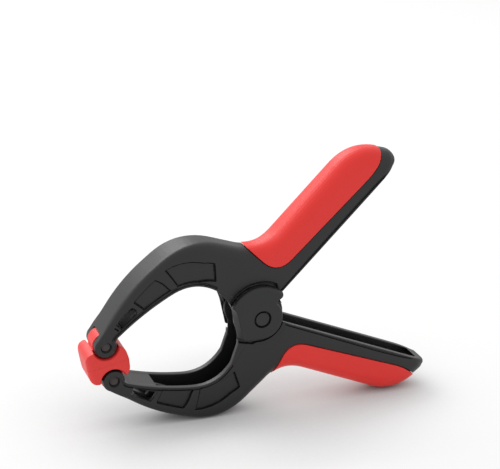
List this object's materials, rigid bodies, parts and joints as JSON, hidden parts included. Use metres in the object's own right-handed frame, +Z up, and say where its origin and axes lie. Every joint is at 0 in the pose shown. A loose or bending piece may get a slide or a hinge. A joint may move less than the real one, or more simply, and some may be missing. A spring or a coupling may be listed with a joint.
{
  "type": "spring clamp",
  "caption": "Hand spring clamp: two channel-shaped arms crossing at a pivot, held shut by a torsion spring, with soft handle grips and swivelling jaw pads.",
  "frame": {"origin": "under the middle of the closed clamp's box, on the surface it stands on", "axes": "+Z up, jaws towards -X and handles towards +X, pivot axis along Y; the clamp stands on the back of its lower jaw and of its lower handle"},
  "size_m": [0.175, 0.0268, 0.1263],
  "materials": {
    "arm_nylon": "fine moulded texture",
    "grip_rubber": "soft matte",
    "pad_plastic": "soft satin",
    "pin_steel": "dark oiled",
    "pivot_steel": "black oxide",
    "spring_steel": "drawn wire"
  },
  "bodies": {
    "lower_half": {"lower_arm": "arm_nylon", "lower_grip": "grip_rubber", "lower_pad_pin": "pin_steel", "torsion_spring": "spring_steel"},
    "upper_half": {"upper_arm": "arm_nylon", "upper_grip": "grip_rubber", "upper_pad_pin": "pin_steel", "pivot_pin": "pivot_steel", "spring_sleeve": "arm_nylon"},
    "lower_pad": {"lower_pad": "pad_plastic"},
    "upper_pad": {"upper_pad": "pad_plastic"}
  },
  "joints": [
    {"name": "arm_pivot", "type": "hinge", "parent": "lower_half", "child": "upper_half", "pos_m": [-0.00441, 0, 0.04987], "axis": [0, 1, 0], "range_deg": [0, 50], "stiffness_Nm_per_rad": 1.39, "springref_deg": -89.95, "deforming": ["torsion_spring"]},
    {"name": "lower_pad_swivel", "type": "hinge", "parent": "lower_half", "child": "lower_pad", "pos_m": [-0.07493, 0, 0.02569], "axis": [0, 1, 0], "range_deg": [0, 25]},
    {"name": "upper_pad_swivel", "type": "hinge", "parent": "upper_half", "child": "upper_pad", "pos_m": [-0.07867, 0, 0.04329], "axis": [0, 1, 0], "range_deg": [-25, 0]}
  ],
  "couplings": [
    {"joint": "lower_pad_swivel", "follows": "arm_pivot", "ratio": 0.5},
    {"joint": "upper_pad_swivel", "follows": "arm_pivot", "ratio": -0.5}
  ]
}
